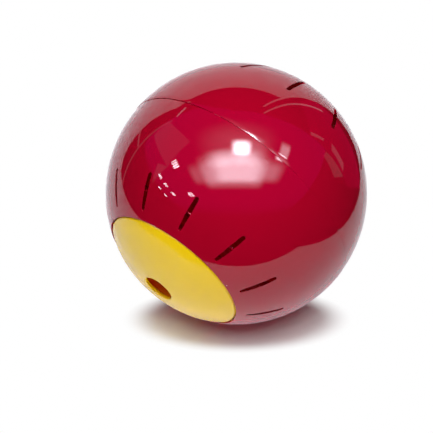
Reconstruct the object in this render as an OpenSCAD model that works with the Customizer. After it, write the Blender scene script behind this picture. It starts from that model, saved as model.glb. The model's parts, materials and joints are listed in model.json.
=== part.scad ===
// Treat ball: two slotted half shells that twist together, and a plug-in cap with a treat hole.
// Every piece is drawn about the ball's own axis, with +Z out through the treat hole and the
// seam at Z = 0, and at_rest() then lays the ball on the floor.

/* [Ball] */
// Outer diameter of the ball
ball_d = 125; // [115:1:135]
// Wall thickness of both half shells
shell_wall = 2; // [1.6:0.1:2.4]
// How far the cap's axis points below level as the ball lies at rest, in degrees
cap_dip = 20; // [0:1:40]
// Turn of the ball about its own axis at rest, in degrees
ball_roll = -4; // [-15:1:15]

/* [Seam] */
// Gap between the two half shells
seam_gap = 0.2; // [0.1:0.05:0.4]
// Chamfer along the outer edges of the seam
seam_chamfer = 0.4; // [0.2:0.1:0.6]

/* [Slots] */
// Number of slots around each half shell
slot_count = 12; // [8:1:14]
// Width of a slot at its widest
slot_w = 2.2; // [1.8:0.1:3]
// How much narrower a slot is at its end nearest the seam
slot_seam_taper = 0.3; // [0.2:0.1:1.2]
// How much narrower a slot is at its end nearest the pole
slot_pole_taper = 0.8; // [0.2:0.1:1.4]
// End of every slot nearest the seam, in degrees from the pole
slot_outer_end = 56.5; // [52:0.5:62]
// End of a front slot nearest the pole, in degrees from the pole
front_slot_inner_end = 40; // [40:1:44]
// End of a rear slot nearest the pole, in degrees from the pole
rear_slot_inner_end = 35.5; // [25:0.5:44]

/* [Hoop behind the front slots] */
// Thickness of the hoop along the ball
hoop_w = 0.5; // [0.4:0.1:1.4]
// Height of the hoop above the inside of the wall
hoop_h = 1.4; // [0.8:0.1:2.5]

/* [Cap] */
// Diameter of the cap's rim
cap_d = 71.4; // [68:0.2:72]
// Wall thickness of the cap
cap_wall = 2; // [1.6:0.1:2.4]
// Gap between the cap's rim and the shell
cap_gap = 0.5; // [0.3:0.05:0.8]
// Chamfer along the cap's rim and along the edge of its opening
rim_chamfer = 0.5; // [0.2:0.1:0.8]
// Diameter of the treat hole
hole_d = 14.6; // [10:0.2:20]
// Width of the flat foot under the cap's rim
foot_w = 2; // [1.4:0.1:2.2]
// Height of the foot at the cap's rim
foot_h = 0.4; // [0.2:0.1:0.8]
// Gap between the cap's foot and the ledge under it
seat_gap = 0.1; // [0.05:0.05:0.3]

/* [Ledge and skirt] */
// Width of the ledge that the cap sits on
ledge_w = 3.8; // [3:0.1:5]
// Thickness of the ledge
ledge_t = 1.5; // [1.2:0.1:1.8]
// Thickness of the cap's skirt
skirt_t = 1.6; // [1.2:0.1:2]
// How far the skirt reaches past the ledge
skirt_reach = 3; // [1:0.5:6]
// Gap between the skirt and the ledge's bore
skirt_clearance = 0.3; // [0.2:0.05:0.5]
// Number of grip ribs on the skirt
grip_count = 8; // [4:1:12]
// Width of a grip rib
grip_w = 2; // [1:0.1:3]
// Gap left between a grip rib and the ledge's bore
grip_fit = 0.05; // [0.02:0.01:0.1]

/* [Bayonet] */
// Height of the collar that reaches into the front half
collar_h = 9; // [8:0.5:12]
// Thickness of the collar
collar_t = 1.8; // [1.4:0.1:2.4]
// Gap between the collar and the front half's rim
collar_clearance = 0.3; // [0.2:0.05:0.5]
// Height of the web that carries the collar
web_h = 6; // [4:0.5:8]
// How far the front half's rim is thickened inside the wall
rim_step = 1.2; // [0.8:0.1:1.8]
// How far the thick rim runs on past the collar
rim_over = 1; // [0.5:0.5:3]
// Number of locking lugs
lug_count = 3; // [2:1:4]
// Diameter of a lug
lug_d = 3.2; // [2.4:0.1:4]
// How far a lug stands out of the rim
lug_reach = 1.6; // [1:0.1:2]
// Gap around a lug in its slot
lug_clearance = 0.3; // [0.2:0.05:0.5]
// Twist that unlocks the halves, in degrees
unlock_twist = 18; // [10:1:30]

/* [Hidden] */
$fn = 96;
// Facets of a slot's shallow arcs, as drawn
long_arc_fn = 720;
// How far a slot's arcs run on into its round ends
end_lap = 0.05;

red = [0.68, 0.01, 0.15];
yellow = [0.94, 0.8, 0.07];

// Longer than the ball, for what is cut right away
far = 2 * ball_d;

ball_r = ball_d / 2;
inner_r = ball_r - shell_wall;
slot_pitch = 360 / slot_count;
slot_seam_w = slot_w - slot_seam_taper;
slot_pole_w = slot_w - slot_pole_taper;

cap_r = cap_d / 2;
cap_inner_r = ball_r - cap_wall;
opening_r = cap_r + cap_gap;
cap_rim_polar = asin(cap_r / ball_r);
opening_polar = asin(opening_r / ball_r);
foot_z = sqrt(pow(cap_inner_r, 2) - pow(cap_r, 2)) - foot_h;
ledge_z = foot_z - seat_gap;
ledge_bore_r = opening_r - ledge_w;
skirt_r = ledge_bore_r - skirt_clearance;
skirt_z = ledge_z - ledge_t - skirt_reach;

rim_bore_r = inner_r - rim_step;
rim_h = collar_h + rim_over;
collar_r = rim_bore_r - collar_clearance;
collar_inner_r = collar_r - collar_t;
lug_z = collar_h / 2;
lug_slot_h = lug_d + 2 * lug_clearance;
lug_half_turn = asin((lug_d / 2 + lug_clearance) / collar_inner_r);

// Lays a piece on the floor as the ball rests
module at_rest() {
    translate([0, 0, ball_r])
        rotate([90 + cap_dip, 0, 0])
            rotate([0, 0, ball_roll])
                children();
}

// Parts of the half plane that is spun about the ball's axis
module above(z) {
    translate([0, z])
        square([far, far]);
}

module below(z) {
    translate([0, z - far])
        square([far, far]);
}

module nearer(r) {
    translate([0, -far])
        square([r, 2 * far]);
}

module beyond(r) {
    translate([r, -far])
        square([far, 2 * far]);
}

// Section of a hollow ball
module wall_section(outer_r, wall) {
    intersection() {
        difference() {
            circle(outer_r);
            circle(outer_r - wall);
        }
        beyond(0);
    }
}

// Section that cuts a chamfer from a cylindrical edge on the ball, on its inner (-1) or outer (+1) side
module edge_chamfer_section(edge_r, polar, side) {
    edge_z = ball_r * cos(polar);
    polygon([
        [edge_r, edge_z - rim_chamfer],
        [edge_r + side * rim_chamfer * cos(polar), edge_z - side * rim_chamfer * sin(polar)],
        [edge_r + side * rim_chamfer, edge_z + 2 * rim_chamfer],
        [edge_r - side * rim_chamfer, edge_z + 2 * rim_chamfer],
        [edge_r - side * rim_chamfer, edge_z - rim_chamfer]
    ]);
}

// Section that chamfers the outer edge of a half shell at the seam, on the front (+1) or rear (-1) side
module seam_chamfer_section(side) {
    edge_z = side * seam_gap / 2;
    polygon([
        [ball_r - seam_chamfer, edge_z],
        [ball_r + seam_chamfer, edge_z],
        [ball_r + seam_chamfer, edge_z + side * 2 * seam_chamfer]
    ]);
}

// Keeps the part of a section that is well inside the ball's wall
module inside_wall() {
    intersection() {
        circle(ball_r - shell_wall / 2);
        children();
    }
}

// Outline of a slot: two shallow arcs between round ends, with its seam end towards +X
module slot_outline(length) {
    pole_x = (slot_pole_w - length) / 2;
    seam_x = (length - slot_seam_w) / 2;
    pole_share = sqrt(slot_pole_taper / slot_w);
    seam_share = sqrt(slot_seam_taper / slot_w);
    arc_half = (seam_x - pole_x) / (pole_share + seam_share);
    arc_r = arc_half * arc_half / slot_w + slot_w / 4;
    widest_x = pole_x + arc_half * pole_share;
    intersection() {
        translate([widest_x, slot_w / 2 - arc_r])
            circle(arc_r, $fn = long_arc_fn);
        translate([widest_x, arc_r - slot_w / 2])
            circle(arc_r, $fn = long_arc_fn);
        translate([pole_x - end_lap, -slot_w])
            square([seam_x - pole_x + 2 * end_lap, 2 * slot_w]);
    }
    for (x = [pole_x, seam_x])
        translate([x, 0])
            circle(sqrt(pow(arc_r, 2) - pow(x - widest_x, 2)) - arc_r + slot_w / 2);
}

// Ring of slots cut straight in towards the ball's centre
module slots(inner_end) {
    middle = (inner_end + slot_outer_end) / 2;
    length = 2 * ball_r * sin((slot_outer_end - inner_end) / 2);
    for (i = [0:slot_count - 1])
        rotate([0, 0, (i + 0.5) * slot_pitch])
            rotate([0, middle, 0])
                translate([0, 0, inner_r - 2 * shell_wall])
                    linear_extrude(4 * shell_wall)
                        slot_outline(length);
}

// Thin hoop inside the front wall, across the middle of its slots
module hoop() {
    middle = (front_slot_inner_end + slot_outer_end) / 2;
    rotate_extrude()
        rotate(90 - middle)
            translate([inner_r - hoop_h, -hoop_w / 2])
                square([hoop_h + shell_wall / 2, hoop_w]);
}

// Lugs inside the front rim that lock into the collar
module lugs() {
    for (i = [0:lug_count - 1])
        rotate([0, 0, i * 360 / lug_count])
            translate([rim_bore_r - lug_reach, 0, lug_z])
                rotate([0, 90, 0])
                    cylinder(d = lug_d, h = lug_reach + rim_step);
}

// Hooked slots in the collar: a run around it, then a way out at its free edge
module hooked_slots() {
    run_turn = unlock_twist + 2 * lug_half_turn;
    cut_r = collar_inner_r - collar_t;
    for (i = [0:lug_count - 1])
        rotate([0, 0, i * 360 / lug_count - unlock_twist - lug_half_turn]) {
            rotate_extrude(angle = run_turn)
                translate([cut_r, lug_z - lug_slot_h / 2])
                    square([3 * collar_t, lug_slot_h]);
            rotate_extrude(angle = 2 * lug_half_turn)
                translate([cut_r, lug_z])
                    square([3 * collar_t, collar_h]);
        }
}

// Ribs on the skirt, crushed to size as they grip the ledge's bore
module grip_ribs() {
    for (i = [0:grip_count - 1])
        rotate([0, 0, i * 360 / grip_count])
            intersection() {
                difference() {
                    cylinder(r = ledge_bore_r - grip_fit, h = foot_z + foot_h);
                    cylinder(r = skirt_r - skirt_t / 2, h = far, center = true);
                }
                translate([0, -grip_w / 2, skirt_z + skirt_t / 2])
                    cube([ball_r, grip_w, ball_r]);
            }
}

// Half shell with the cap's opening, its thick rim and its slots
module front_shell() {
    difference() {
        rotate_extrude()
            difference() {
                union() {
                    wall_section(ball_r, shell_wall);
                    inside_wall()
                        intersection() {
                            beyond(rim_bore_r);
                            below(rim_h);
                        }
                }
                below(seam_gap / 2);
                nearer(opening_r);
                edge_chamfer_section(opening_r, opening_polar, 1);
                seam_chamfer_section(1);
            }
        slots(front_slot_inner_end);
    }
}

// Ring inside the opening that the cap's foot sits on
module ledge() {
    rotate_extrude()
        inside_wall()
            polygon([
                [ledge_bore_r, ledge_z - ledge_t],
                [ledge_bore_r, ledge_z],
                [opening_r, ledge_z],
                [opening_r, ledge_z + shell_wall / 2],
                [ball_r, ledge_z + shell_wall / 2],
                [ball_r, ledge_z - ledge_t]
            ]);
}

module front_half() {
    color(red) at_rest() {
        front_shell();
        ledge();
        hoop();
        lugs();
    }
}

module rear_half() {
    color(red) at_rest()
        difference() {
            rotate_extrude()
                difference() {
                    union() {
                        intersection() {
                            wall_section(ball_r, shell_wall);
                            below(-seam_gap / 2);
                        }
                        inside_wall()
                            polygon([
                                [collar_inner_r, -collar_t],
                                [collar_inner_r, collar_h],
                                [collar_r, collar_h],
                                [collar_r, -seam_gap / 2],
                                [ball_r, -seam_gap / 2],
                                [ball_r, -web_h],
                                [inner_r, -web_h]
                            ]);
                    }
                    seam_chamfer_section(-1);
                }
            mirror([0, 0, 1])
                slots(rear_slot_inner_end);
            hooked_slots();
        }
}

// Section of the skirt and the foot, up into the cap's wall
module under_cap_section() {
    intersection() {
        circle(ball_r - cap_wall / 2);
        union() {
            translate([skirt_r - skirt_t, skirt_z])
                square([skirt_t, ball_r]);
            translate([cap_r - foot_w, foot_z])
                square([foot_w, ball_r]);
        }
    }
}

module dispenser_cap() {
    color(yellow) at_rest() {
        rotate_extrude()
            difference() {
                union() {
                    wall_section(ball_r, cap_wall);
                    under_cap_section();
                }
                below(skirt_z);
                nearer(hole_d / 2);
                beyond(cap_r);
                edge_chamfer_section(cap_r, cap_rim_polar, -1);
            }
        grip_ribs();
    }
}

front_half();
rear_half();
dispenser_cap();
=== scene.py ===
"""Looks of the treat ball: two glossy red half shells and a yellow cap, on a sheet of white paper."""
import json
import math

import bmesh
import bpy
from mathutils import Matrix, Vector
from mathutils.geometry import intersect_line_sphere


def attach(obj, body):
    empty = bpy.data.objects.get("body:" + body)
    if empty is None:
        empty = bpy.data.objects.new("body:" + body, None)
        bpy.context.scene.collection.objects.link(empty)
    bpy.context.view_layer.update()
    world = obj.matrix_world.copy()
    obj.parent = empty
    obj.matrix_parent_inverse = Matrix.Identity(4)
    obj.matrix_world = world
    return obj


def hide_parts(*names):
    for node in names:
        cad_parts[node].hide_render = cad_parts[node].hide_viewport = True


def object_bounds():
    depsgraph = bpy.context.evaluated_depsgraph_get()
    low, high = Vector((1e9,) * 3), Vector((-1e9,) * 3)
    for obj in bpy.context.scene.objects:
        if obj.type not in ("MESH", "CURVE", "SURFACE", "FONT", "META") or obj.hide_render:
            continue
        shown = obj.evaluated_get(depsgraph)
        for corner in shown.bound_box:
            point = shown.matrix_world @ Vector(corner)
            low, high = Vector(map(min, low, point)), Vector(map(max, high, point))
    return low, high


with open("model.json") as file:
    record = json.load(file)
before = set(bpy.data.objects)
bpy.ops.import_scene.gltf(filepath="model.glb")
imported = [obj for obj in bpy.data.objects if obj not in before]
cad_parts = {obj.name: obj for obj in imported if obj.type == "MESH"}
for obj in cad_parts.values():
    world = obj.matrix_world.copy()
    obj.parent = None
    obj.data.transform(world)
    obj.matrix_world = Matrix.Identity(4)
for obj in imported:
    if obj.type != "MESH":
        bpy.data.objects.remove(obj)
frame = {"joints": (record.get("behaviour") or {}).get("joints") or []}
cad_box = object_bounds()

# The ball in the frame, in metres
MM = 0.001
twist = next(j for j in frame["joints"] if j["name"] == "halves_twist")
CENTRE = Vector(twist["pos_m"])
AXIS = Vector(twist["axis"]).normalized()
CAP_DIP = math.asin(-AXIS.z)
BALL_ROLL = math.radians(-4)
R = (cad_box[1].z - cad_box[0].z) / 2

# Sizes in millimetres about the ball's own axis, whose height runs out through the treat hole
BALL_R = R / MM
WALL = 2.0
INNER_R = BALL_R - WALL
EDGE_ROUND = 0.3

# The seam: its mean gap, by how much and on which side the rear half opens it, and how far it slips
SEAM_GAP = 0.33
SEAM_LIP = 0.08
SEAM_OPENS = 0.3
SEAM_OPEN_SIDE = math.radians(200)
SEAM_SLIP = 0.2
SEAM_SLIP_SIDE = math.radians(155)
SINK_W = 1.5
SINK = 0.01

# The slots, wider towards the inside, and the hoop across the front ones
SLOTS = 12
SLOT_W = 2.2
SLOT_SEAM_W = 1.9
SLOT_POLE_W = 1.4
SLOT_FLARE = 1.9
SLOT_END_FLARE = 0.3
SLOT_LIP = 0.06
SLOT_LIP_ROOM = 1.4 * SLOT_LIP
SLOT_SEAM_END = math.radians(56.5)
FRONT_SLOT_END = math.radians(40)
REAR_SLOT_END = math.radians(35.5)
FRONT_BAND_FROM = math.radians(39.5)
REAR_BAND_FROM = math.radians(33)
BAND_TO = math.radians(60)
HOOP_W = 0.5
HOOP_H = 1.4
HOOP_ROOT = 0.4
HOOP_ROUND = 0.2

# The cap with its foot, skirt and grip ribs, and the opening and ledge that it sits in
CAP_R = 35.7
CAP_LIP = 0.8
CAP_ROLL = 0.65
CAP_ROLL_W = 8.5
CAP_GAP = 0.5
OPENING_R = CAP_R + CAP_GAP
OPENING_LIP = 0.5
HOLE_R = 7.3
HOLE_LIP = 0.5
HOLE_INNER_LIP = 0.9
FOOT_W = 2.0
FOOT_Z = 48.44
FOOT_ROUND = 0.25
LEDGE_Z = 48.34
LEDGE_W = 3.8
LEDGE_T = 1.5
LEDGE_BORE_R = OPENING_R - LEDGE_W
SKIRT_R = 32.1
SKIRT_T = 1.6
SKIRT_Z = 43.84
SKIRT_ROUND = 0.35
GRIPS = 8
GRIP_W = 2.0
GRIP_GAP = 0.05
GRIP_R = LEDGE_BORE_R - GRIP_GAP
GRIP_FOOT = 0.8
GRIP_ROOT = 1.6
GRIP_ROUND = 0.2

# The front half's thick rim with its lugs, and the rear half's collar that they lock into
RIM_BORE_R = 59.3
RIM_H = 10.0
COLLAR_R = 59.0
COLLAR_T = 1.8
COLLAR_H = 9.0
WEB_H = 6.0
LUGS = 3
LUG_R = 1.6
LUG_REACH = 1.6
LUG_ROOT = 0.8
LUG_ROUND = 0.35
LUG_Z = COLLAR_H / 2
LUG_SLOT_H = 3.8

# How finely the pieces are cut: columns round the ball, steps along its sections, and rings round one slot
COLUMNS = 192
OPENING_STEPS = 4
SEAM_STEPS = 14
INSIDE_STEPS = 8
POLE_STEPS = 16
SINK_STEPS = 8
CAP_STEPS = 30
UNDER_CAP_STEPS = 16
FOOT_STEPS = 2
SECTOR_COLUMNS = COLUMNS // SLOTS
SECTOR_ROWS = 12
SLOT_RINGS = 6
RING_SPREAD = 1.5

# Columns of the collar that a lug runs along, past its rest, and comes in by
RUN_COLUMNS = 11
REST_COLUMNS = 1
WAY_IN_COLUMNS = 3

# How near two points are one, a point is on the ball, on the collar's wall or on the inside
NEAR = 0.002
ON_BALL = 0.006
ON_WALL = 0.1
ON_INSIDE = 0.3
SHARP = math.radians(50)
LEVEL_FACE = 0.95

LAY = (
    Matrix.Translation(CENTRE)
    @ Matrix.Rotation(math.pi / 2 + CAP_DIP, 4, "X")
    @ Matrix.Rotation(BALL_ROLL, 4, "Z")
    @ Matrix.Scale(MM, 4)
)


# Shapes

def meridian(radius, start, end, steps):
    """Points of a half section along a ball's surface, between two angles from the pole."""
    angles = [start + (end - start) * k / steps for k in range(steps + 1)]
    return [(radius * math.sin(a), radius * math.cos(a)) for a in angles]


def sunk_edge(edge_polar):
    """Points of a half section over a thick rim, where the wall sinks a little beside its edge."""
    points = []
    for k in range(SINK_STEPS, -1, -1):
        share = k / SINK_STEPS
        radius = BALL_R - SINK * math.sin(math.pi * share) ** 2
        polar = edge_polar - SINK_W / BALL_R * share ** 2
        points.append((radius * math.sin(polar), radius * math.cos(polar)))
    return points


def up_to_ball(r, radius):
    """Height at which a cylinder of radius r meets a ball's surface."""
    return math.sqrt(radius ** 2 - r ** 2)


def section(bm, points, closed=False):
    """Draws a half section as a line of edges, from pairs of radius and height."""
    verts = [bm.verts.new((r, 0, h)) for r, h in points]
    pairs = list(zip(verts, verts[1:]))
    if closed:
        pairs.append((verts[-1], verts[0]))
    return verts + [bm.edges.new(pair) for pair in pairs]


def turn(bm, line):
    """Spins a half section right round the ball's axis."""
    bmesh.ops.spin(
        bm, geom=line, cent=(0, 0, 0), axis=(0, 0, 1), dvec=(0, 0, 0),
        angle=math.tau, steps=COLUMNS, use_merge=True,
    )


def repeat(bm, count):
    """Repeats all that is drawn so far evenly round the ball's axis."""
    bmesh.ops.spin(
        bm, geom=bm.verts[:] + bm.edges[:] + bm.faces[:], cent=(0, 0, 0), axis=(0, 0, 1), dvec=(0, 0, 0),
        angle=math.tau * (count - 1) / count, steps=count - 1, use_duplicate=True,
    )


def close_up(bm):
    """Merges the seams and poles, and turns every face outwards."""
    bmesh.ops.remove_doubles(bm, verts=bm.verts, dist=NEAR)
    bmesh.ops.recalc_face_normals(bm, faces=bm.faces)


def soften(bm, edges, radius, steps=3):
    """Rounds edges as a mould does."""
    bmesh.ops.bevel(
        bm, geom=edges, offset=radius, offset_type="OFFSET", segments=steps, profile=0.5,
        affect="EDGES", material=-1, clamp_overlap=True,
    )


def ring(bm, radius, height):
    """The ring of edges at one corner of a turned section."""
    def on_ring(v):
        return abs(v.co.xy.length - radius) < NEAR and abs(v.co.z - height) < NEAR
    return [e for e in bm.edges if all(on_ring(v) for v in e.verts)]


def square_edge(step):
    """Walks round a square from -1 to 1: along its pole side, down the right, back, and up the left."""
    if step <= SECTOR_COLUMNS:
        return -1 + 2 * step / SECTOR_COLUMNS, -1
    step -= SECTOR_COLUMNS
    if step <= SECTOR_ROWS:
        return 1, -1 + 2 * step / SECTOR_ROWS
    step -= SECTOR_ROWS
    if step <= SECTOR_COLUMNS:
        return 1 - 2 * step / SECTOR_COLUMNS, 1
    step -= SECTOR_COLUMNS
    return -1, 1 - 2 * step / SECTOR_ROWS


def slot_band(bm, pole_edge, seam_edge, slot_end):
    """The wall's slotted band: one sector is laid flat, slotted, bent to the ball and repeated."""
    slot_from, slot_to = BALL_R * slot_end, BALL_R * SLOT_SEAM_END
    pole_y, seam_y = slot_from + SLOT_POLE_W / 2, slot_to - SLOT_SEAM_W / 2
    pole_share = math.sqrt(1 - SLOT_POLE_W / SLOT_W)
    seam_share = math.sqrt(1 - SLOT_SEAM_W / SLOT_W)
    belly_half = (seam_y - pole_y) / (pole_share + seam_share)
    belly_y = pole_y + belly_half * pole_share

    def on_sector(u, v):
        polar = pole_edge + (seam_edge - pole_edge) * (v + 1) / 2
        return Vector((BALL_R * math.sin(polar) * u * math.pi / SLOTS, BALL_R * polar, 0))

    def on_slot(u, v, wider, longer):
        y = pole_y + (seam_y - pole_y) * (v + 1) / 2
        half = SLOT_W / 2 * (1 - ((y - belly_y) / belly_half) ** 2)
        if abs(v) < 1:
            return Vector((u * (half + wider), y, 0))
        bend = u * math.pi / 2
        return Vector(((half + wider) * math.sin(bend), y + v * (half + longer) * math.cos(bend), 0))

    # the outside, then the inside, where the slot is wider
    around = 2 * (SECTOR_COLUMNS + SECTOR_ROWS)
    for height, wider, longer in ((0, 0, 0), (-WALL, SLOT_FLARE, SLOT_END_FLARE)):
        made = bmesh.ops.create_grid(bm, x_segments=around, y_segments=SLOT_RINGS, size=0.5)
        for v in made["verts"]:
            u, w = square_edge(round((v.co.x + 0.5) * around))
            ring_step = round((v.co.y + 0.5) * SLOT_RINGS)
            if ring_step == 0:
                v.co = on_slot(u, w, wider, longer)
            else:
                share = ((ring_step - 1) / (SLOT_RINGS - 1)) ** RING_SPREAD
                lip = on_slot(u, w, wider + SLOT_LIP_ROOM, longer + SLOT_LIP_ROOM)
                v.co = lip.lerp(on_sector(u, w), share)
            v.co.z = height
    bmesh.ops.remove_doubles(bm, verts=bm.verts, dist=NEAR)

    def on_lip(v):
        along = slot_from - SLOT_END_FLARE - NEAR < v.co.y < slot_to + SLOT_END_FLARE + NEAR
        return along and abs(v.co.x) < SLOT_W / 2 + SLOT_FLARE + NEAR
    lips = [e for e in bm.edges if e.is_boundary and all(on_lip(v) for v in e.verts)]
    bmesh.ops.bridge_loops(bm, edges=lips)
    outer_lip = [e for e in lips if e.verts[0].co.z > -WALL / 2]
    soften(bm, outer_lip, SLOT_LIP)

    for v in bm.verts:
        polar = v.co.y / BALL_R
        across = v.co.x / (BALL_R * math.sin(polar)) + math.pi / SLOTS
        reach = BALL_R + v.co.z
        v.co = (
            reach * math.sin(polar) * math.cos(across),
            reach * math.sin(polar) * math.sin(across),
            reach * math.cos(polar),
        )
    repeat(bm, SLOTS)


def front_shell():
    """Half shell with the cap's opening, the ledge under it, the slots and the thick rim at the seam."""
    pole_edge, seam_edge = FRONT_BAND_FROM, BAND_TO
    opening_polar = math.asin(OPENING_R / BALL_R)
    opening_z = up_to_ball(OPENING_R, BALL_R)
    ledge_foot_z = LEDGE_Z - LEDGE_T
    rim_polar = math.acos(RIM_H / INNER_R)
    seam_z = SEAM_GAP / 2
    edge_polar = math.acos(seam_z / BALL_R)

    bm = bmesh.new()
    slot_band(bm, pole_edge, seam_edge, FRONT_SLOT_END)
    turn(bm, section(bm, [
        *meridian(BALL_R, pole_edge, opening_polar, OPENING_STEPS),
        (OPENING_R, LEDGE_Z),
        (LEDGE_BORE_R, LEDGE_Z),
        (LEDGE_BORE_R, ledge_foot_z),
        (up_to_ball(ledge_foot_z, INNER_R), ledge_foot_z),
        meridian(INNER_R, 0, pole_edge, 1)[-1],
    ]))
    turn(bm, section(bm, [
        *meridian(BALL_R, seam_edge, edge_polar - SINK_W / BALL_R, SEAM_STEPS)[:-1],
        *sunk_edge(edge_polar),
        (RIM_BORE_R, seam_z),
        (RIM_BORE_R, RIM_H),
        *meridian(INNER_R, rim_polar, seam_edge, INSIDE_STEPS),
    ]))
    close_up(bm)
    soften(bm, ring(bm, OPENING_R, opening_z), OPENING_LIP)
    soften(bm, ring(bm, LEDGE_BORE_R, LEDGE_Z) + ring(bm, LEDGE_BORE_R, ledge_foot_z), EDGE_ROUND)
    soften(bm, ring(bm, up_to_ball(seam_z, BALL_R), seam_z), SEAM_LIP)
    soften(bm, ring(bm, RIM_BORE_R, seam_z) + ring(bm, RIM_BORE_R, RIM_H), EDGE_ROUND)
    # the seam's lip ends on a row of the sunk edge, so the two rows become one
    close_up(bm)
    return bm


def rear_shell():
    """Closed half shell with its slots, and the collar with hooked slots that plugs into the front half."""
    pole_edge, seam_edge = REAR_BAND_FROM, BAND_TO
    seam_z = SEAM_GAP / 2
    collar_inner_r = COLLAR_R - COLLAR_T
    low, high = -(LUG_Z - LUG_SLOT_H / 2), -(LUG_Z + LUG_SLOT_H / 2)

    # drawn with its pole up, and turned over at the end
    bm = bmesh.new()
    slot_band(bm, pole_edge, seam_edge, REAR_SLOT_END)
    turn(bm, section(bm, meridian(BALL_R, pole_edge, 0, POLE_STEPS)))
    turn(bm, section(bm, meridian(INNER_R, pole_edge, 0, POLE_STEPS)))
    turn(bm, section(bm, [
        *meridian(BALL_R, seam_edge, math.acos(seam_z / BALL_R), SEAM_STEPS),
        *[(COLLAR_R, h) for h in (seam_z, low, high, -COLLAR_H)],
        *[(collar_inner_r, h) for h in (-COLLAR_H, high, low, COLLAR_T)],
        *meridian(INNER_R, math.acos(WEB_H / INNER_R), seam_edge, INSIDE_STEPS),
    ]))
    close_up(bm)
    cut_hooked_slots(bm, low, high, collar_inner_r)
    soften(bm, ring(bm, up_to_ball(seam_z, BALL_R), seam_z), SEAM_LIP)
    soften(bm, ring(bm, COLLAR_R, -COLLAR_H) + ring(bm, collar_inner_r, -COLLAR_H), EDGE_ROUND)
    bmesh.ops.scale(bm, vec=(1, 1, -1), verts=bm.verts)
    bmesh.ops.recalc_face_normals(bm, faces=bm.faces)

    # it sits a little askew and to one side, so that the seam is open there and tight across from it
    hinge_line = (-math.sin(SEAM_OPEN_SIDE), math.cos(SEAM_OPEN_SIDE), 0)
    askew = Matrix.Rotation(SEAM_OPENS / BALL_R, 3, hinge_line)
    bmesh.ops.rotate(bm, cent=(0, 0, 0), matrix=askew, verts=bm.verts)
    slip = (SEAM_SLIP * math.cos(SEAM_SLIP_SIDE), SEAM_SLIP * math.sin(SEAM_SLIP_SIDE), 0)
    bmesh.ops.translate(bm, vec=slip, verts=bm.verts)
    return bm


def cut_hooked_slots(bm, low, high, collar_inner_r):
    """Opens the collar along the lugs' runs and their ways out, and walls the cuts."""
    column = math.tau / COLUMNS
    run_from, run_to = -RUN_COLUMNS * column, REST_COLUMNS * column
    out_to = run_from + WAY_IN_COLUMNS * column
    middle_r = (COLLAR_R + collar_inner_r) / 2

    def lug_turn(co):
        pitch = math.tau / LUGS
        return (math.atan2(co.y, co.x) + pitch / 2) % pitch - pitch / 2

    def in_cut(face):
        co = face.calc_center_median()
        if co.z > low or abs(co.xy.length - middle_r) > COLLAR_T / 2 + ON_WALL:
            return False
        return run_from < lug_turn(co) < (run_to if co.z > high else out_to)

    bmesh.ops.delete(bm, geom=[f for f in bm.faces if in_cut(f)], context="FACES")
    open_edges = [e for e in bm.edges if e.is_boundary]
    for k in range(LUGS):
        middle_turn = k * math.tau / LUGS + (run_from + run_to) / 2
        middle = Matrix.Rotation(middle_turn, 3, "Z") @ Vector((middle_r, 0, 0))
        lines = []
        for wall_r in (COLLAR_R, collar_inner_r):
            lines += [
                e for e in open_edges
                if all(abs(v.co.xy.length - wall_r) < ON_WALL for v in e.verts)
                and (e.verts[0].co - middle).xy.length < middle_r / 2
            ]
        bmesh.ops.bridge_loops(bm, edges=lines)
    bmesh.ops.recalc_face_normals(bm, faces=bm.faces)


def hoop():
    """Thin hoop inside the front wall, across the middle of its slots."""
    polar = (FRONT_SLOT_END + SLOT_SEAM_END) / 2
    out = Vector((math.sin(polar), math.cos(polar)))
    along = Vector((math.cos(polar), -math.sin(polar))) * HOOP_W / 2
    near, far = out * (INNER_R - HOOP_H), out * (INNER_R + HOOP_ROOT)
    bm = bmesh.new()
    corners = [near - along, near + along, far + along, far - along]
    turn(bm, section(bm, corners, closed=True))
    close_up(bm)
    for corner in corners:
        soften(bm, ring(bm, *corner), HOOP_ROUND)
    return bm


def lugs():
    """Round lugs inside the front rim that lock into the collar."""
    depth = LUG_REACH + LUG_ROOT
    middle = Matrix.Translation((RIM_BORE_R - LUG_REACH + depth / 2, 0, LUG_Z))
    bm = bmesh.new()
    made = bmesh.ops.create_cone(
        bm, cap_ends=True, segments=32, radius1=LUG_R, radius2=LUG_R, depth=depth,
        matrix=middle @ Matrix.Rotation(math.pi / 2, 4, "Y"),
    )
    tip = min(v.co.x for v in made["verts"])
    soften(bm, [e for e in bm.edges if all(v.co.x < tip + NEAR for v in e.verts)], LUG_ROUND)
    repeat(bm, LUGS)
    close_up(bm)
    return bm


def rolled_cap(points):
    """Lowers the points of the cap's outside a little towards its rim."""
    return [(r, h - CAP_ROLL * max(0, 1 - (CAP_R - r) / CAP_ROLL_W) ** 2) for r, h in points]


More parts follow.
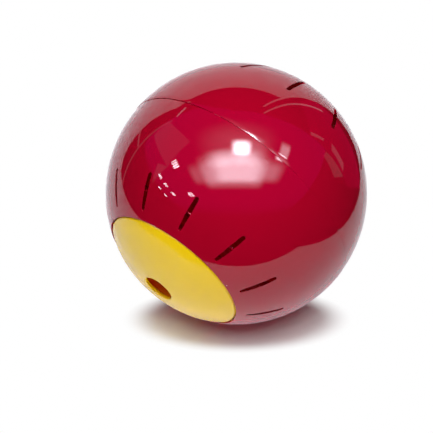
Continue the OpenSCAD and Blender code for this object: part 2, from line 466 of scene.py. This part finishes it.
def cap_dome():
    """Domed cap with its treat hole, foot and skirt."""
    hole_polar, rim_polar = math.asin(HOLE_R / BALL_R), math.asin(CAP_R / BALL_R)
    outside = rolled_cap(meridian(BALL_R, hole_polar, rim_polar, CAP_STEPS))
    bm = bmesh.new()
    foot_in, skirt_in = CAP_R - FOOT_W, SKIRT_R - SKIRT_T
    turn(bm, section(bm, [
        *outside,
        (CAP_R, FOOT_Z),
        (foot_in, FOOT_Z),
        *meridian(INNER_R, math.asin(foot_in / INNER_R), math.asin(SKIRT_R / INNER_R), FOOT_STEPS),
        (SKIRT_R, SKIRT_Z),
        (skirt_in, SKIRT_Z),
        *meridian(INNER_R, math.asin(skirt_in / INNER_R), math.asin(HOLE_R / INNER_R), UNDER_CAP_STEPS),
    ], closed=True))
    close_up(bm)
    soften(bm, ring(bm, *outside[-1]), CAP_LIP, steps=4)
    soften(bm, ring(bm, HOLE_R, up_to_ball(HOLE_R, BALL_R)), HOLE_LIP)
    soften(bm, ring(bm, HOLE_R, up_to_ball(HOLE_R, INNER_R)), HOLE_INNER_LIP, steps=4)
    soften(bm, ring(bm, CAP_R, FOOT_Z) + ring(bm, foot_in, FOOT_Z), FOOT_ROUND)
    soften(bm, ring(bm, SKIRT_R, SKIRT_Z) + ring(bm, skirt_in, SKIRT_Z), SKIRT_ROUND)
    return bm


def grip_ribs():
    """Ribs on the cap's skirt that grip the ledge's bore."""
    inner, foot, top = SKIRT_R - SKIRT_T / 2, SKIRT_Z + GRIP_FOOT, FOOT_Z + GRIP_ROOT
    bm = bmesh.new()
    bmesh.ops.create_cube(bm, size=1)
    bmesh.ops.scale(bm, vec=(GRIP_R - inner, GRIP_W, top - foot), verts=bm.verts)
    bmesh.ops.translate(bm, vec=((GRIP_R + inner) / 2, 0, (top + foot) / 2), verts=bm.verts)
    outer = [e for e in bm.edges if all(v.co.x > GRIP_R - NEAR for v in e.verts)]
    soften(bm, outer, GRIP_ROUND, steps=2)
    repeat(bm, GRIPS)
    close_up(bm)
    return bm


def make_piece(name, bm, body, finishes):
    """Lays a piece on the floor with the ball, dull inside and in the seam, to move with a body."""
    outer, inner = finishes
    for face in bm.faces:
        middle = face.calc_center_median()
        in_seam = abs(middle.z) < SEAM_GAP + SEAM_OPENS and abs(face.normal.z) > LEVEL_FACE
        face.smooth = True
        face.material_index = int(middle.length < INNER_R + ON_INSIDE or in_seam)
    bmesh.ops.transform(bm, matrix=LAY, verts=bm.verts)
    mesh = bpy.data.meshes.new(name)
    bm.to_mesh(mesh)
    bm.free()
    mesh.materials.append(outer)
    mesh.materials.append(inner)
    mesh.set_sharp_from_angle(angle=SHARP)
    # faces on the ball shade as the true ball does
    corners = [n.vector.copy() for n in mesh.corner_normals]
    for k, loop in enumerate(mesh.loops):
        out = mesh.vertices[loop.vertex_index].co - CENTRE
        if abs(out.length / MM - BALL_R) < ON_BALL:
            corners[k] = out.normalized()
    mesh.normals_split_custom_set(corners)
    piece = bpy.data.objects.new(name, mesh)
    bpy.context.scene.collection.objects.link(piece)
    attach(piece, body)
    return piece


# Finishes

def srgb(red, green, blue):
    """A colour as a paint chart gives it, 0 to 255, in the linear values that a shader takes."""
    def linear(c):
        c /= 255
        return c / 12.92 if c <= 0.04045 else ((c + 0.055) / 1.055) ** 2.4
    return (linear(red), linear(green), linear(blue), 1)


def put(tree, kind, inputs, **settings):
    """Adds a node to a tree, and sets or links its inputs, by name or by number."""
    made = tree.nodes.new(kind)
    for key, value in settings.items():
        setattr(made, key, value)
    for key, value in inputs.items():
        named = [s for s in made.inputs if s.enabled and s.name == key]
        socket = named[0] if named else made.inputs[key]
        if isinstance(value, bpy.types.NodeSocket):
            tree.links.new(value, socket)
        else:
            socket.default_value = value
    return made


def given(made):
    """A node's first output that is in use."""
    return next(s for s in made.outputs if s.enabled)


def new_material(name):
    """A new material and its empty node tree."""
    material = bpy.data.materials.new(name)
    material.use_nodes = True
    material.node_tree.nodes.clear()
    return material, material.node_tree


def moulded_plastic(name, colour, deep_colour, gloss, dull, wave, dust):
    """Moulded plastic: a slightly uneven colour, soft waves and fine scuffs in its gloss, and dust."""
    material, tree = new_material(name)
    place = put(tree, "ShaderNodeTexCoord", {}).outputs["Object"]

    flow = put(tree, "ShaderNodeTexNoise", {"Vector": place, "Scale": 26.0, "Detail": 3.0})
    tint = put(
        tree, "ShaderNodeMix", {"Factor": given(flow), "A": deep_colour, "B": colour}, data_type="RGBA",
    )

    cells = put(tree, "ShaderNodeTexVoronoi", {"Vector": place, "Scale": 170.0})
    speck = put(
        tree, "ShaderNodeMapRange",
        {"Value": cells.outputs["Distance"], "From Min": 0.05, "From Max": 0.02},
        interpolation_type="SMOOTHSTEP",
    )
    drawn = put(tree, "ShaderNodeSeparateColor", {"Color": cells.outputs["Color"]}).outputs["Red"]
    few = put(tree, "ShaderNodeMath", {0: drawn, 1: 1 - dust}, operation="GREATER_THAN")
    specks = put(tree, "ShaderNodeMath", {0: given(speck), 1: given(few)}, operation="MULTIPLY")
    dusted = put(
        tree, "ShaderNodeMix", {"Factor": given(specks), "A": given(tint), "B": DUST}, data_type="RGBA",
    )

    streaks = put(
        tree, "ShaderNodeMapping",
        {"Vector": place, "Rotation": (0.6, 0.3, 0.9), "Scale": (60, 900, 900)},
    )
    scuffs = put(tree, "ShaderNodeTexNoise", {"Vector": given(streaks), "Scale": 1.0, "Detail": 2.0})
    shine = put(
        tree, "ShaderNodeMapRange",
        {"Value": given(scuffs), "From Min": 0.45, "From Max": 0.8, "To Min": gloss, "To Max": dull},
    )

    waves = put(tree, "ShaderNodeTexNoise", {"Vector": place, "Scale": 30.0, "Detail": 1.0})
    sink = put(tree, "ShaderNodeBump", {"Strength": wave, "Distance": 0.001, "Height": given(waves)})

    shader = put(tree, "ShaderNodeBsdfPrincipled", {
        "Base Color": given(dusted), "Roughness": given(shine), "Normal": given(sink), "IOR": 1.5,
    })
    put(tree, "ShaderNodeOutputMaterial", {"Surface": given(shader)})
    return material


DUST = srgb(225, 205, 205)
RED, DEEP_RED = srgb(172, 2, 37), srgb(165, 2, 33)
YELLOW, DEEP_YELLOW = srgb(255, 213, 4), srgb(252, 208, 3)
red_gloss = moulded_plastic(
    "red_gloss_plastic", RED, DEEP_RED, gloss=0.015, dull=0.035, wave=0.02, dust=0.06,
)
red_inside = moulded_plastic(
    "red_inside_plastic", RED, DEEP_RED, gloss=0.25, dull=0.4, wave=0.05, dust=0.0,
)
yellow_gloss = moulded_plastic(
    "yellow_gloss_plastic", YELLOW, DEEP_YELLOW, gloss=0.19, dull=0.23, wave=0.02, dust=0.04,
)
yellow_inside = moulded_plastic(
    "yellow_inside_plastic", YELLOW, DEEP_YELLOW, gloss=0.25, dull=0.4, wave=0.05, dust=0.0,
)


# Pieces

red, yellow = (red_gloss, red_inside), (yellow_gloss, yellow_inside)
front = make_piece("front_shell", front_shell(), "front_half", red)
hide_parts("front_half")
make_piece("front_hoop", hoop(), "front_half", (red_gloss, red_gloss))
make_piece("front_lugs", lugs(), "front_half", red)
rear = make_piece("rear_shell", rear_shell(), "rear_half", red)
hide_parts("rear_half")
cap = make_piece("cap_dome", cap_dome(), "dispenser_cap", yellow)
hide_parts("dispenser_cap")
make_piece("cap_grip_ribs", grip_ribs(), "dispenser_cap", yellow)


# Camera: where the ball's middle and outline lie in the picture sets its aim and lens

PICTURE = 433
BALL_PIXEL = (236.2, 193.5)
BALL_PIXEL_R = 130.9
DISTANCE = 12 * R
CAMERA_AZIMUTH = math.radians(37.95)
CAMERA_ELEVATION = math.radians(36.65)
SENSOR = 36

back = Vector((
    math.sin(CAMERA_AZIMUTH) * math.cos(CAMERA_ELEVATION),
    -math.cos(CAMERA_AZIMUTH) * math.cos(CAMERA_ELEVATION),
    math.sin(CAMERA_ELEVATION),
))
picture_lens = BALL_PIXEL_R * math.sqrt((DISTANCE / R) ** 2 - 1)
camera_data = bpy.data.cameras.new("camera")
camera_data.sensor_width = SENSOR
camera_data.lens = SENSOR * picture_lens / PICTURE
camera_data.clip_start = 0.01
camera = bpy.data.objects.new("camera", camera_data)
bpy.context.scene.collection.objects.link(camera)
bpy.context.scene.camera = camera
eye = CENTRE + back * DISTANCE
camera.location = eye
straight_on = (-back).to_track_quat("-Z", "Y")
offset = Vector((BALL_PIXEL[0] - PICTURE / 2, PICTURE / 2 - BALL_PIXEL[1], 0)) * (DISTANCE / picture_lens)
aim = CENTRE - straight_on @ offset - eye
camera_turn = aim.to_track_quat("-Z", "Y")
camera.rotation_euler = camera_turn.to_euler()


# Places in the studio

UP = Vector((0, 0, 1))
to_camera = Vector((-aim.x, -aim.y, 0)).normalized()
to_right = UP.cross(to_camera)
PATCH_DISTANCE = 2.0
LAMP_HEIGHT = R + 0.8
CEILING_HEIGHT = R + 2.0


def studio(right, towards, up):
    """A place in metres from the floor under the ball: right, towards the camera, and up."""
    return to_right * right + to_camera * towards + UP * up


def level(thing, middle):
    """Lays a flat thing of the studio at a place, square to the camera."""
    square = Matrix.Rotation(math.atan2(to_right.y, to_right.x), 4, "Z")
    thing.matrix_world = Matrix.Translation(middle) @ square


def mirrored_way(point):
    """The way out into the room that the ball mirrors at a point of the picture."""
    x, y = point
    look = (camera_turn @ Vector((x - PICTURE / 2, PICTURE / 2 - y, -picture_lens))).normalized()
    crossings = intersect_line_sphere(eye, eye + look, CENTRE, R, False)
    seen = min(crossings, key=lambda place: (place - eye).length)
    return look.reflect((seen - CENTRE).normalized())


def far_off(point):
    """A place far off in the room, along the way that the ball mirrors at a point of the picture."""
    return CENTRE + mirrored_way(point) * PATCH_DISTANCE


def on_ceiling(point):
    """How far right and towards the camera the ball mirrors the ceiling, at a point of the picture."""
    way = mirrored_way(point)
    place = way * (CEILING_HEIGHT - CENTRE.z) / way.z
    return place.dot(to_right), place.dot(to_camera)


# Stage finishes

PAPER_LIGHT = (0.92, 0.96, 1.16, 1)
LAMP_WHITE = (1, 0.97, 1.08, 1)
SHEET_SHADE = 0.8
SHEET_GLOW = (0.31, 0.18)
SHEET_DARK_WAY = (1, -0.6, 0)
SHEET_GLOW_REACH = (-2 * R, 2.2 * R)
FLOOR_SHADE = 0.74
FLOOR_GLOW = 0.005
SHADOW_HALF_W = 0.82 * R
SHADOW_HALF_D = 0.365 * R
SHADOW_EDGE = (0.76, 1.12)


def paper(tree, shade, glow):
    """Matt paper with a little cool light of its own."""
    matt = put(tree, "ShaderNodeBsdfDiffuse", {"Color": (shade, shade, shade, 1)})
    lit = put(tree, "ShaderNodeEmission", {"Color": PAPER_LIGHT, "Strength": glow})
    return given(put(tree, "ShaderNodeAddShader", {0: given(matt), 1: given(lit)}))


def sheet_paper():
    """The paper that the ball mirrors, lighter towards its near left."""
    material, tree = new_material("sheet_paper")
    place = put(tree, "ShaderNodeTexCoord", {}).outputs["Object"]
    far_right = studio(*SHEET_DARK_WAY)
    across = put(tree, "ShaderNodeVectorMath", {0: place, 1: far_right}, operation="DOT_PRODUCT")
    (light_side, dark_side), (light_end, dark_end) = SHEET_GLOW, SHEET_GLOW_REACH
    glow = put(tree, "ShaderNodeMapRange", {
        "Value": across.outputs["Value"], "From Min": light_end, "From Max": dark_end,
        "To Min": light_side, "To Max": dark_side,
    })
    put(tree, "ShaderNodeOutputMaterial", {"Surface": paper(tree, SHEET_SHADE, given(glow))})
    return material


def spread(tree, half_width, half_depth):
    """How far a point lies from an object's middle, where 1 is the edge of an oval."""
    place = put(tree, "ShaderNodeTexCoord", {}).outputs["Object"]
    shares = (1 / half_width, 1 / half_depth, 0)
    scaled = put(tree, "ShaderNodeVectorMath", {0: place, 1: shares}, operation="MULTIPLY")
    return put(tree, "ShaderNodeVectorMath", {0: given(scaled)}, operation="LENGTH").outputs["Value"]


def floor_paper():
    """White floor that takes the ball's shadow in an oval, and is plain white beyond it."""
    material, tree = new_material("floor_paper")
    fade_from, fade_to = SHADOW_EDGE
    beyond = put(
        tree, "ShaderNodeMapRange",
        {"Value": spread(tree, SHADOW_HALF_W, SHADOW_HALF_D), "From Min": fade_from, "From Max": fade_to},
        interpolation_type="SMOOTHSTEP",
    )
    shaded = paper(tree, FLOOR_SHADE, FLOOR_GLOW)
    white = put(tree, "ShaderNodeEmission", {"Color": (1, 1, 1, 1), "Strength": 1.0})
    surface = put(tree, "ShaderNodeMixShader", {0: given(beyond), 1: shaded, 2: given(white)})
    put(tree, "ShaderNodeOutputMaterial", {"Surface": given(surface)})
    return material


def lamp_glow(name, strength, half_width, half_depth, soft_sides, soft_ends, colour=LAMP_WHITE):
    """Light of a rectangle whose sides and ends are soft by a share, added to what lies behind it."""
    material, tree = new_material(name)
    place = put(tree, "ShaderNodeTexCoord", {}).outputs["Object"]
    out = put(tree, "ShaderNodeVectorMath", {0: place}, operation="ABSOLUTE")
    shares = (1 / half_width, 1 / half_depth, 0)
    scaled = put(tree, "ShaderNodeVectorMath", {0: given(out), 1: shares}, operation="MULTIPLY")
    across = put(tree, "ShaderNodeSeparateXYZ", {"Vector": given(scaled)}).outputs
    side, end = (
        given(put(
            tree, "ShaderNodeMapRange",
            {"Value": across[axis], "From Min": 1 - soft, "From Max": 1, "To Min": most, "To Max": 0},
            interpolation_type="SMOOTHSTEP",
        ))
        for axis, soft, most in (("X", soft_sides, strength), ("Y", soft_ends, 1))
    )
    fall = put(tree, "ShaderNodeMath", {0: side, 1: end}, operation="MULTIPLY")
    glow = put(tree, "ShaderNodeEmission", {"Color": colour, "Strength": given(fall)})
    clear = put(tree, "ShaderNodeBsdfTransparent", {})
    surface = put(tree, "ShaderNodeAddShader", {0: given(clear), 1: given(glow)})
    put(tree, "ShaderNodeOutputMaterial", {"Surface": given(surface)})
    return material


# Stage pieces

GLOSS_ONLY = {"camera": False, "diffuse": False, "shadow": False}
PATCH_SOFT = 0.2
CEILING_SOFT_SIDES = 0.3
CEILING_SOFT_ENDS = 0.5
TUBES = 4
TUBE_PITCH = 0.115
TUBE_HALF_W = 0.23
TUBE_HALF_D = 0.027
TUBE_GLOW = 32.0


def stage_object(name, bm, material, **seen_by):
    """A piece of the studio, with the kinds of light ray that see it or don't."""
    mesh = bpy.data.meshes.new(name)
    bm.to_mesh(mesh)
    bm.free()
    mesh.materials.append(material)
    thing = bpy.data.objects.new(name, mesh)
    bpy.context.scene.collection.objects.link(thing)
    for ray, seen in seen_by.items():
        setattr(thing, "visible_" + ray, seen)
    return thing


def flat(half_width, half_depth):
    """A flat rectangle that faces down."""
    bm = bmesh.new()
    bmesh.ops.create_grid(bm, x_segments=1, y_segments=1, size=1)
    bmesh.ops.scale(bm, vec=(half_width, half_depth, 1), verts=bm.verts)
    bmesh.ops.reverse_faces(bm, faces=bm.faces)
    return bm


def outline(corners):
    """A flat face with these corners."""
    bm = bmesh.new()
    bmesh.ops.contextual_create(bm, geom=[bm.verts.new(corner) for corner in corners])
    return bm


def mirrored_lamp(name, middle, half_width, half_depth, strength, soft_sides, soft_ends):
    """A flat lamp over the ball, for its gloss alone."""
    glow = lamp_glow(name, strength, half_width, half_depth, soft_sides, soft_ends)
    level(stage_object(name, flat(half_width, half_depth), glow, **GLOSS_ONLY), middle)


def mirrored_patch(name, strength, corners, colour=LAMP_WHITE):
    """A pale flat thing in the room, for the ball's gloss alone."""
    reach = 2 * PATCH_DISTANCE
    glow = lamp_glow(name, strength, reach, reach, PATCH_SOFT, PATCH_SOFT, colour)
    stage_object(name, outline(corners), glow, **GLOSS_ONLY)


def mirrored_pole(name, strength, width, low, high):
    """A thin pale pole in the room between two points of the picture."""
    low, high = far_off(low), far_off(high)
    side = (high - low).cross(low - CENTRE).normalized() * width / 2
    mirrored_patch(name, strength, (low - side, low + side, high + side, high - side))


def mirrored_ceiling(name, strength, edge, near_end, colour):
    """The room's dim ceiling, from its far edge in the picture to its near end, for the gloss alone."""
    places = [on_ceiling(point) for point in edge]
    (first, _), (last, _) = places[0], places[-1]
    places += [(last, near_end), (first, near_end)]
    width, depth = (max(abs(place[axis]) for place in places) for axis in (0, 1))
    glow = lamp_glow(name, strength, width, depth, CEILING_SOFT_SIDES, CEILING_SOFT_ENDS, colour)
    plate = outline([(right, -towards, 0) for right, towards in places])
    level(stage_object(name, plate, glow, **GLOSS_ONLY), studio(0, 0, CEILING_HEIGHT))


def ceiling_light(name, point, glow):
    """A light of a few tubes in the ceiling, at a point of the picture."""
    bm = flat(TUBE_HALF_W, TUBE_HALF_D)
    first = bm.verts[:] + bm.edges[:] + bm.faces[:]
    bmesh.ops.translate(bm, vec=(0, -TUBE_PITCH * (TUBES - 1) / 2, 0), verts=bm.verts)
    bmesh.ops.spin(
        bm, geom=first, cent=(0, 0, 0), axis=(0, 0, 1), dvec=(0, TUBE_PITCH, 0),
        angle=0, steps=TUBES - 1, use_duplicate=True,
    )
    level(stage_object(name, bm, glow, **GLOSS_ONLY), studio(*on_ceiling(point), CEILING_HEIGHT))


def add_light(name, kind, place, power):
    """A light that isn't mirrored in the ball."""
    light = bpy.data.lights.new(name, kind)
    light.energy = power
    thing = bpy.data.objects.new(name, light)
    bpy.context.scene.collection.objects.link(thing)
    thing.location = place
    thing.visible_glossy = False
    return thing


# Each lamp: right, towards the camera, half its width and depth, strength, soft share of its sides and ends
LAMP_STEP = 0.002
LAMPS = {
    "light_panel": (-0.06, 0.60, 0.55, 0.38, 4.0, 0.35, 0.7),
    "panel_middle": (-0.01, 0.56, 0.45, 0.27, 8.5, 0.65, 0.6),
    "panel_right": (0.47, 0.55, 0.33, 0.27, 3.3, 0.85, 0.8),
    "panel_top": (-0.04, 0.34, 0.42, 0.15, 8.0, 0.7, 0.9),
    "panel_wing": (-0.56, 0.58, 0.26, 0.27, 1.6, 0.6, 0.8),
    "bare_lamp": (0.05, 0.22, 0.135, 0.13, 42.0, 0.8, 0.85),
    "lamp_halo": (0.0, 0.15, 0.55, 0.32, 0.8, 0.9, 0.9),
    "lamp_glare": (0.15, 0.25, 0.28, 0.22, 2.2, 0.9, 0.9),
    "side_lamp": (0.59, 0.27, 0.12, 0.055, 20.0, 0.7, 0.8),
    "side_lamp_shade": (0.62, 0.16, 0.11, 0.16, 5.0, 0.6, 0.7),
}
for k, (name, (right, towards, *lamp)) in enumerate(LAMPS.items()):
    mirrored_lamp(name, studio(right, towards, LAMP_HEIGHT - LAMP_STEP * k), *lamp)

# Pale boards in the room, far off: strength, and the points of the picture where the corners are mirrored
BOARDS = {
    "left_board": (0.22, (155, 136), (170.5, 123), (191, 142.5), (168.5, 167)),
    "low_left_board": (0.3, (159, 163.5), (168.5, 167), (153, 184)),
    "right_board": (0.4, (331, 144), (331, 151), (342.5, 172.5), (343, 164)),
    "low_right_board": (0.3, (325.5, 152), (323, 156.5), (333.5, 178), (342.5, 177)),
    "small_right_board": (0.55, (310, 132.5), (310.5, 136), (323, 142), (323.5, 139.5)),
}
for name, (strength, *points) in BOARDS.items():
    mirrored_patch(name, strength, [far_off(point) for point in points])

# Poles of the stands: strength, width, and the points of the picture where the two ends are mirrored
POLES = {
    "left_pole": (0.35, 0.05, (123, 185), (139.5, 148)),
    "left_arm": (0.35, 0.05, (139.5, 148), (173, 121.5)),
    "back_rail": (0.5, 0.05, (143, 126), (139, 147)),
    "right_pole": (0.9, 0.04, (322, 112), (264, 114.5)),
    "far_right_pole": (0.9, 0.04, (285, 99), (263.5, 108)),
    "left_strip": (1.8, 0.05, (177.5, 117.5), (186.5, 108.5)),
}
for name, pole in POLES.items():
    mirrored_pole(name, *pole)

# The dim light of the ceiling and right wall, tinted as it shows in the red
CEILING_TINT = (1, 0.0, 0.32, 1)
CEILING_NEAR_END = 7.0
CEILING_EDGE = [(143, 146.5), (195, 110), (234, 112), (273, 118.5), (309.5, 136), (325.5, 150)]
mirrored_ceiling(
    "ceiling", strength=0.85, edge=CEILING_EDGE, near_end=CEILING_NEAR_END, colour=CEILING_TINT,
)
WALL_TINT = (1, 0.0, 0.1, 1)
RIGHT_WALL = [
    (298.5, 102.5), (312.5, 100.5), (336, 122.5), (360, 189.5),
    (346, 187.5), (336.5, 166), (325, 150), (309, 136),
]
wall_corners = [far_off(point) for point in RIGHT_WALL]
mirrored_patch("right_wall", strength=0.65, corners=wall_corners, colour=WALL_TINT)

# Far lights in the ceiling
CEILING_LIGHTS = [
    (175.5, 164.5), (191, 194.5), (160.5, 176.5), (166, 185), (173.5, 194), (160, 188), (165.5, 195),
]
tube_glow = lamp_glow("ceiling_tube", TUBE_GLOW, half_width=1, half_depth=1, soft_sides=0.5, soft_ends=0.5)
for k, point in enumerate(CEILING_LIGHTS):
    ceiling_light("ceiling_light_%d" % k, point, tube_glow)

# The round lamp that lights the ball's colour and casts its shadow
key_lamp = add_light("key_lamp", "AREA", studio(0.01, 0.44, LAMP_HEIGHT), power=9.0)
key_lamp.data.shape = "DISK"
key_lamp.data.size = 0.65
key_lamp.rotation_euler = (CENTRE - key_lamp.location).to_track_quat("-Z", "Y").to_euler()

# Light that comes through the thin walls into the ball
inner_light = add_light("inner_light", "POINT", CENTRE, power=0.013)
inner_light.data.shadow_soft_size = 0.01
inner_light.data.color = (1, 0.02, 0.01)

# The floor that the camera sees, with its middle under the shadow
FLOOR_R = 6
SHADOW_PLACE = studio(0.015 * R, 0.31 * R, 0)
bm = bmesh.new()
bmesh.ops.create_circle(bm, cap_ends=True, segments=64, radius=FLOOR_R)
floor = stage_object(
    "floor", bm, floor_paper(), diffuse=False, glossy=False, transmission=False, shadow=False,
)
level(floor, SHADOW_PLACE)

# The sheet of paper that the ball mirrors: level under the ball, then bent up behind it.
# Each row is how far away, how high, and where the left edge is, in radii of the ball
SHEET_RIGHT = 3.05
SHEET = [
    (-3.05, 0, -4.7), (3.47, 0, -6.4), (3.97, 0.14, -6.6),
    (4.22, 0.5, -6.3), (4.27, 1.0, -6.0), (4.27, 5.5, -4.2),
]
BELOW_FLOOR = 0.0005
bm = bmesh.new()
edges = []
for sides in ([side for away, up, side in SHEET], [SHEET_RIGHT] * len(SHEET)):
    rows = zip(SHEET, sides)
    line = [bm.verts.new(studio(side * R, -away * R, up * R - BELOW_FLOOR)) for (away, up, _), side in rows]
    edges += [bm.edges.new(pair) for pair in zip(line, line[1:])]
bmesh.ops.bridge_loops(bm, edges=edges)
stage_object("paper_sheet", bm, sheet_paper(), camera=False, shadow=False)

# The room beyond: white to the camera, dark in the ball's gloss, and soft light on its colour
ROOM_LIGHT = 0.075
ROOM_GLOSS = 0.01
world = bpy.data.worlds.new("studio")
bpy.context.scene.world = world
world.use_nodes = True
tree = world.node_tree
tree.nodes.clear()
ray = put(tree, "ShaderNodeLightPath", {}).outputs
soft, dark, white = (
    given(put(tree, "ShaderNodeBackground", {"Color": (1, 1, 1, 1), "Strength": strength}))
    for strength in (ROOM_LIGHT, ROOM_GLOSS, 1.0)
)
room = put(tree, "ShaderNodeMixShader", {0: ray["Is Glossy Ray"], 1: soft, 2: dark})
room = put(tree, "ShaderNodeMixShader", {0: ray["Is Camera Ray"], 1: given(room), 2: white})
put(tree, "ShaderNodeOutputWorld", {"Surface": given(room)})

bpy.context.scene.view_settings.view_transform = "Standard"

bpy.context.view_layer.update()
